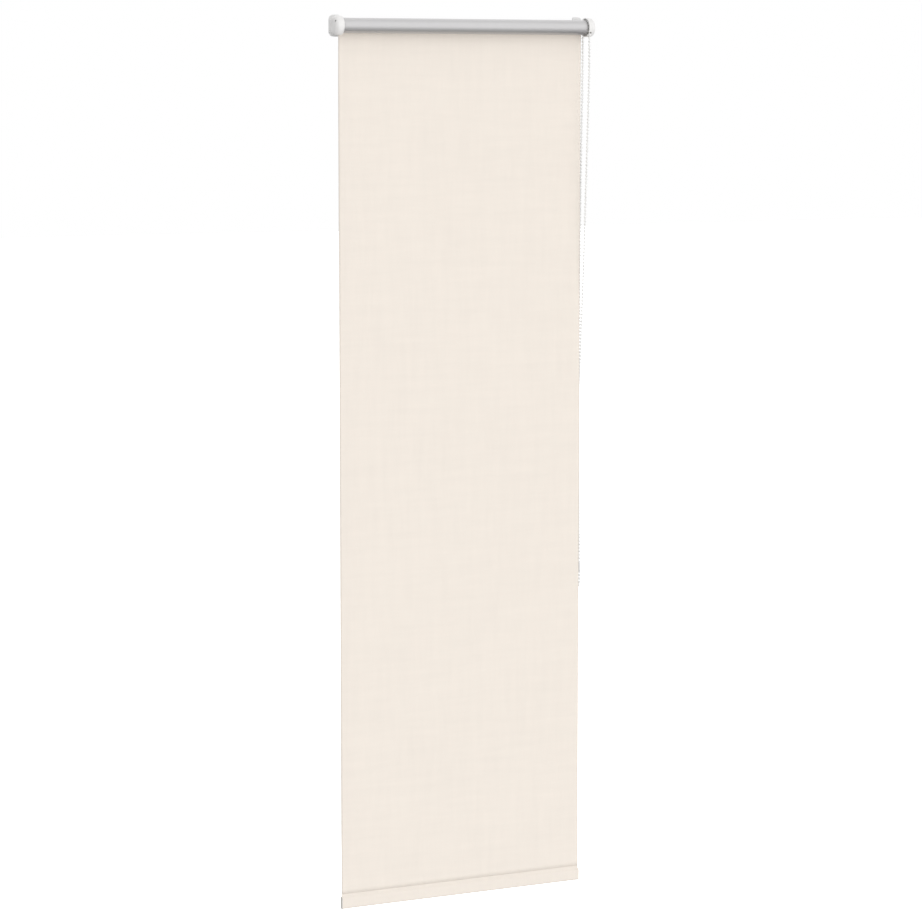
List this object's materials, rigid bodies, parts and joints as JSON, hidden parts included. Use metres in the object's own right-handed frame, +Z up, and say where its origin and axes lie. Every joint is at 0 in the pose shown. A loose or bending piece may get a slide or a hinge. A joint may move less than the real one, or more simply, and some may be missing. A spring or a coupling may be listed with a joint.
{
  "type": "roller blind",
  "caption": "Narrow chain-operated roller blind: cream light-blocking fabric on a wall-bracketed tube, with round white end covers, a bead chain loop and a weighted hem.",
  "frame": {"origin": "centre of the rectangle of the four wall-screw holes, on the wall's face, level with the axle", "axes": "+X along the roll towards the chain end, +Y into the wall, +Z up"},
  "size_m": [0.491, 0.046, 1.5055],
  "materials": {
    "coated_steel": "white powder coat",
    "white_plastic": "moulded, satin",
    "bearing_plastic": "moulded acetal",
    "plated_steel": "zinc plated",
    "cream_fabric": "plain weave, cream",
    "silver_reverse": "silver-grey light-blocking coating",
    "tape": "double-sided adhesive tape",
    "tube_aluminium": "mill finish extrusion",
    "cap_plastic": "moulded, cream-white",
    "chain_plastic": "white beads on a polyester string"
  },
  "bodies": {
    "brackets": {"left_bracket": "coated_steel", "left_bush": "bearing_plastic", "left_cover": "white_plastic", "right_bracket": "coated_steel", "right_cover": "white_plastic", "chain_guard": "white_plastic", "clutch_spindle": "bearing_plastic", "spindle_screw": "plated_steel", "fabric_drop": "cream_fabric", "chain_wrap": "chain_plastic", "chain_loop": "chain_plastic", "chain_connector": "chain_plastic"},
    "roller": {"roller_tube": "tube_aluminium", "fixing_tape": "tape", "fabric_roll": "silver_reverse", "drive_crown": "bearing_plastic", "idle_plug": "bearing_plastic", "idle_spring": "plated_steel"},
    "chain_drive": {"chain_wheel": "bearing_plastic", "wrap_springs": "plated_steel"},
    "pin": {"idle_pin": "plated_steel"},
    "bottom_rail": {"hem_pocket": "cream_fabric", "bottom_bar": "tube_aluminium", "bar_cap_left": "cap_plastic", "bar_cap_right": "cap_plastic"}
  },
  "joints": [
    {"name": "roller_spin", "type": "hinge", "parent": "brackets", "child": "roller", "pos_m": [0, -0.03, 0], "axis": [1, 0, 0], "range_deg": [0, 5490]},
    {"name": "wheel_spin", "type": "hinge", "parent": "brackets", "child": "chain_drive", "pos_m": [0.2332, -0.03, 0], "axis": [1, 0, 0], "range_deg": [0, 5490]},
    {"name": "bar_lift", "type": "slide", "parent": "brackets", "child": "bottom_rail", "axis": [0, 0, 1], "range_m": [0, 1.4375], "deforming": ["fabric_drop"]},
    {"name": "pin_slide", "type": "slide", "parent": "roller", "child": "pin", "axis": [1, 0, 0], "range_m": [0, 0.009], "stiffness_N_per_m": 300, "springref_m": -0.006, "deforming": ["idle_spring"]}
  ],
  "couplings": [
    {"joint": "wheel_spin", "follows": "roller_spin", "ratio": 1},
    {"joint": "bar_lift", "follows": "roller_spin", "m_per_rad": 0.015}
  ]
}
